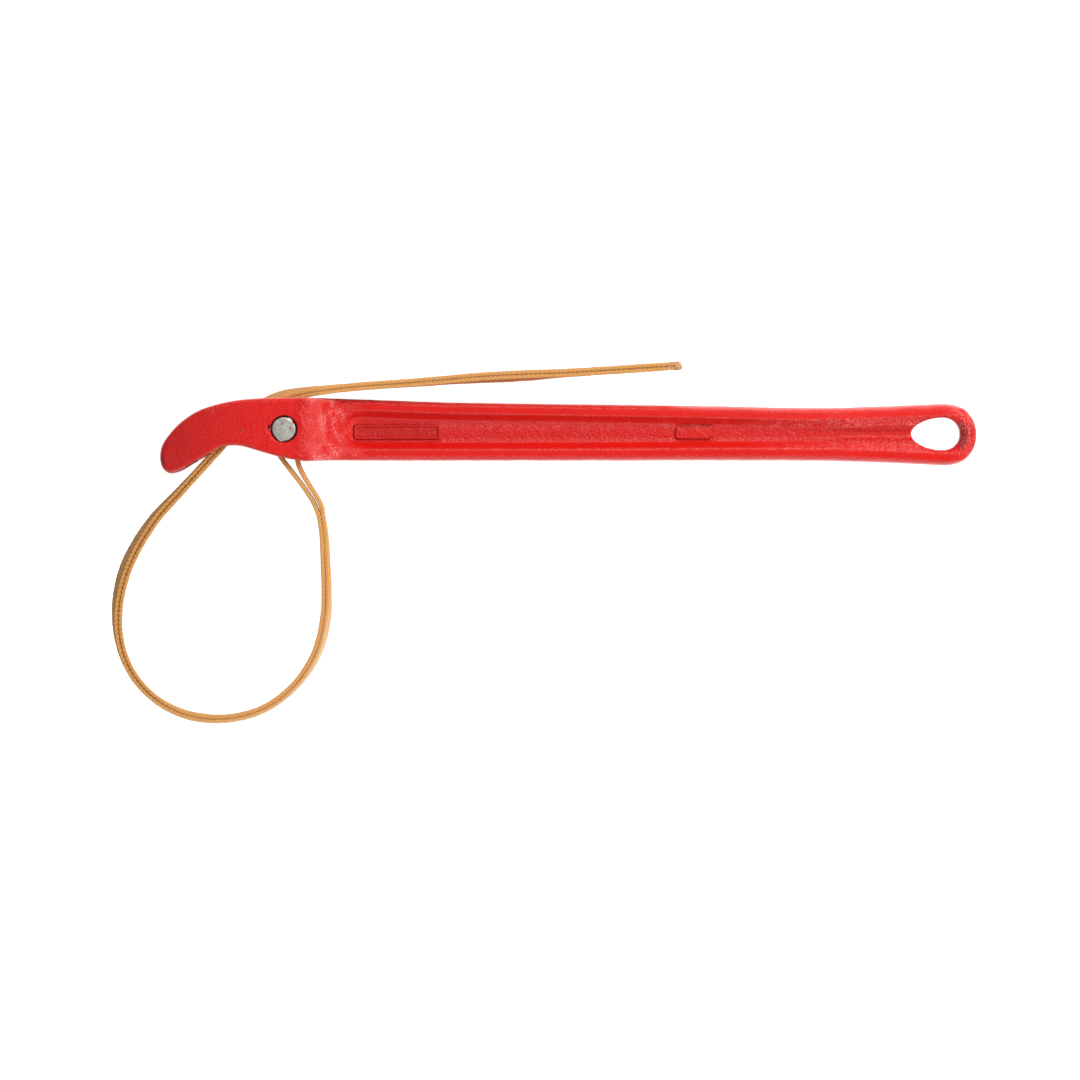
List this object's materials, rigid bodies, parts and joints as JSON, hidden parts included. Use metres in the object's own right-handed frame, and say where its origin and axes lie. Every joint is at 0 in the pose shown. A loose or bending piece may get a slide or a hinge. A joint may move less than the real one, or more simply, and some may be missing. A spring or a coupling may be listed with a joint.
{
  "type": "strap wrench",
  "caption": "Strap wrench: cast red I-beam handle with a forked head, cross pin and a doubled nylon strap that loops out below the head and back through its window.",
  "frame": {"origin": "on the surface that the lower cheek rests on, under the middle of the whole tool, strap included", "axes": "+X along the handle to its hanging ring, +Y towards the back of the head, away from the strap loop, +Z along the cross pin"},
  "size_m": [0.3149, 0.1323, 0.038],
  "materials": {
    "red_paint": "glossy enamel over a sand-cast iron surface",
    "pin_steel": "dull zinc-grey steel",
    "webbing": "orange-tan woven nylon",
    "webbing_seal": "heat-sealed nylon, hard and slightly shiny"
  },
  "bodies": {
    "handle": {"handle": "red_paint", "pin": "pin_steel"},
    "strap_eye": {"strap_eye": "webbing"},
    "loop_01": {"loop_01_inner_ply": "webbing", "loop_01_outer_ply": "webbing"},
    "loop_02": {"loop_02_inner_ply": "webbing", "loop_02_outer_ply": "webbing"},
    "loop_03": {"loop_03_inner_ply": "webbing", "loop_03_outer_ply": "webbing"},
    "loop_04": {"loop_04_inner_ply": "webbing", "loop_04_outer_ply": "webbing"},
    "loop_05": {"loop_05_inner_ply": "webbing", "loop_05_outer_ply": "webbing"},
    "loop_06": {"loop_06_inner_ply": "webbing", "loop_06_outer_ply": "webbing"},
    "loop_07": {"loop_07_inner_ply": "webbing", "loop_07_outer_ply": "webbing"},
    "loop_08": {"loop_08_inner_ply": "webbing", "loop_08_outer_ply": "webbing"},
    "loop_09": {"loop_09_inner_ply": "webbing", "loop_09_outer_ply": "webbing"},
    "loop_10": {"loop_10_inner_ply": "webbing", "loop_10_outer_ply": "webbing"},
    "loop_11": {"loop_11_inner_ply": "webbing", "loop_11_outer_ply": "webbing"},
    "loop_12": {"loop_12_inner_ply": "webbing", "loop_12_outer_ply": "webbing"},
    "throat_lower": {"throat_lower_inner_ply": "webbing", "throat_lower_outer_ply": "webbing"},
    "throat_upper": {"throat_upper_inner_ply": "webbing", "throat_upper_outer_ply": "webbing"},
    "tail_01": {"tail_01_inner_ply": "webbing", "tail_01_outer_ply": "webbing"},
    "tail_02": {"tail_02_inner_ply": "webbing", "tail_02_outer_ply": "webbing"},
    "tail_03": {"tail_03_inner_ply": "webbing", "tail_03_outer_ply": "webbing"},
    "tail_04": {"tail_04_inner_ply": "webbing", "tail_04_outer_ply": "webbing"},
    "tail_05": {"tail_05_inner_ply": "webbing", "tail_05_outer_ply": "webbing"},
    "tail_06": {"tail_06_inner_ply": "webbing", "tail_06_outer_ply": "webbing"},
    "tail_07": {"tail_07_inner_ply": "webbing", "tail_07_outer_ply": "webbing", "sealed_tip": "webbing_seal"}
  },
  "joints": [
    {"name": "strap_pivot", "type": "hinge", "parent": "handle", "child": "strap_eye", "pos_m": [-0.095, 0.0413, 0.019], "axis": [0, 0, 1], "range_deg": [-1.76, 7.02]},
    {"name": "loop_01_bend", "type": "hinge", "parent": "strap_eye", "child": "loop_01", "pos_m": [-0.0817, 0.0101, 0.019], "axis": [0, 0, 1], "range_deg": [-4.59, 1.15]},
    {"name": "loop_02_bend", "type": "hinge", "parent": "loop_01", "child": "loop_02", "pos_m": [-0.08011, -0.00834, 0.019], "axis": [0, 0, 1], "range_deg": [-1.94, 0.49]},
    {"name": "loop_03_bend", "type": "hinge", "parent": "loop_02", "child": "loop_03", "pos_m": [-0.08029, -0.02688, 0.019], "axis": [0, 0, 1], "range_deg": [-2.68, 0.67]},
    {"name": "loop_04_bend", "type": "hinge", "parent": "loop_03", "child": "loop_04", "pos_m": [-0.08551, -0.04455, 0.019], "axis": [0, 0, 1], "range_deg": [-9.27, 2.33]},
    {"name": "loop_05_bend", "type": "hinge", "parent": "loop_04", "child": "loop_05", "pos_m": [-0.09789, -0.05816, 0.019], "axis": [0, 0, 1], "range_deg": [-15.4, 3.87]},
    {"name": "loop_06_bend", "type": "hinge", "parent": "loop_05", "child": "loop_06", "pos_m": [-0.11514, -0.06451, 0.019], "axis": [0, 0, 1], "range_deg": [-10.61, 2.67]},
    {"name": "loop_07_bend", "type": "hinge", "parent": "loop_06", "child": "loop_07", "pos_m": [-0.13328, -0.06172, 0.019], "axis": [0, 0, 1], "range_deg": [-0.57, 2.28]},
    {"name": "loop_08_bend", "type": "hinge", "parent": "loop_07", "child": "loop_08", "pos_m": [-0.14791, -0.05064, 0.019], "axis": [0, 0, 1], "range_deg": [-2.63, 10.47]},
    {"name": "loop_09_bend", "type": "hinge", "parent": "loop_08", "child": "loop_09", "pos_m": [-0.15513, -0.03376, 0.019], "axis": [0, 0, 1], "range_deg": [-2.47, 9.84]},
    {"name": "loop_10_bend", "type": "hinge", "parent": "loop_09", "child": "loop_10", "pos_m": [-0.15371, -0.0154, 0.019], "axis": [0, 0, 1], "range_deg": [-1.69, 6.74]},
    {"name": "loop_11_bend", "type": "hinge", "parent": "loop_10", "child": "loop_11", "pos_m": [-0.1463, 0.00155, 0.019], "axis": [0, 0, 1], "range_deg": [-1.07, 4.26]},
    {"name": "loop_12_bend", "type": "hinge", "parent": "loop_11", "child": "loop_12", "pos_m": [-0.1349, 0.01613, 0.019], "axis": [0, 0, 1], "range_deg": [-4.36, 1.1]},
    {"name": "throat_lower_bend", "type": "hinge", "parent": "loop_12", "child": "throat_lower", "pos_m": [-0.12245, 0.02989, 0.019], "axis": [0, 0, 1], "range_deg": [-27.2, 6.83]},
    {"name": "throat_upper_bend", "type": "hinge", "parent": "throat_lower", "child": "throat_upper", "pos_m": [-0.11375, 0.03954, 0.019], "axis": [0, 0, 1], "range_deg": [-6.17, 1.55]},
    {"name": "strap_pull", "type": "hinge", "parent": "throat_upper", "child": "tail_01", "pos_m": [-0.09084, 0.05386, 0.019], "axis": [0, 0, 1], "range_deg": [-5.9, 23.5]},
    {"name": "tail_02_bend", "type": "hinge", "parent": "tail_01", "child": "tail_02", "pos_m": [-0.07128, 0.05678, 0.019], "axis": [0, 0, 1], "range_deg": [-2.16, 8.61]},
    {"name": "tail_03_bend", "type": "hinge", "parent": "tail_02", "child": "tail_03", "pos_m": [-0.05154, 0.05833, 0.019], "axis": [0, 0, 1], "range_deg": [-1.06, 17.75]},
    {"name": "tail_curl", "type": "hinge", "parent": "tail_03", "child": "tail_04", "pos_m": [-0.03177, 0.05954, 0.019], "axis": [0, 0, 1], "range_deg": [-1.5, 25]},
    {"name": "tail_05_bend", "type": "hinge", "parent": "tail_04", "child": "tail_05", "pos_m": [-0.01199, 0.06066, 0.019], "axis": [0, 0, 1], "range_deg": [-2.13, 35.5]},
    {"name": "tail_06_bend", "type": "hinge", "parent": "tail_05", "child": "tail_06", "pos_m": [0.00778, 0.06183, 0.019], "axis": [0, 0, 1], "range_deg": [-2.13, 35.5]},
    {"name": "tail_07_bend", "type": "hinge", "parent": "tail_06", "child": "tail_07", "pos_m": [0.02754, 0.06315, 0.019], "axis": [0, 0, 1], "range_deg": [-2.13, 35.5]}
  ],
  "couplings": [
    {"joint": "strap_pivot", "follows": "strap_pull", "ratio": 0.2104},
    {"joint": "loop_01_bend", "follows": "strap_pull", "ratio": -0.1374},
    {"joint": "loop_02_bend", "follows": "strap_pull", "ratio": -0.0581},
    {"joint": "loop_03_bend", "follows": "strap_pull", "ratio": -0.0802},
    {"joint": "loop_04_bend", "follows": "strap_pull", "ratio": -0.2778},
    {"joint": "loop_05_bend", "follows": "strap_pull", "ratio": -0.4615},
    {"joint": "loop_06_bend", "follows": "strap_pull", "ratio": -0.3181},
    {"joint": "loop_07_bend", "follows": "strap_pull", "ratio": 0.0683},
    {"joint": "loop_08_bend", "follows": "strap_pull", "ratio": 0.3139},
    {"joint": "loop_09_bend", "follows": "strap_pull", "ratio": 0.2949},
    {"joint": "loop_10_bend", "follows": "strap_pull", "ratio": 0.2019},
    {"joint": "loop_11_bend", "follows": "strap_pull", "ratio": 0.1276},
    {"joint": "loop_12_bend", "follows": "strap_pull", "ratio": -0.1308},
    {"joint": "throat_lower_bend", "follows": "strap_pull", "ratio": -0.8152},
    {"joint": "throat_upper_bend", "follows": "strap_pull", "ratio": -0.1849},
    {"joint": "tail_02_bend", "follows": "strap_pull", "ratio": 0.2579},
    {"joint": "tail_03_bend", "follows": "tail_curl", "ratio": 0.5},
    {"joint": "tail_05_bend", "follows": "tail_curl", "ratio": 1},
    {"joint": "tail_06_bend", "follows": "tail_curl", "ratio": 1},
    {"joint": "tail_07_bend", "follows": "tail_curl", "ratio": 1}
  ]
}
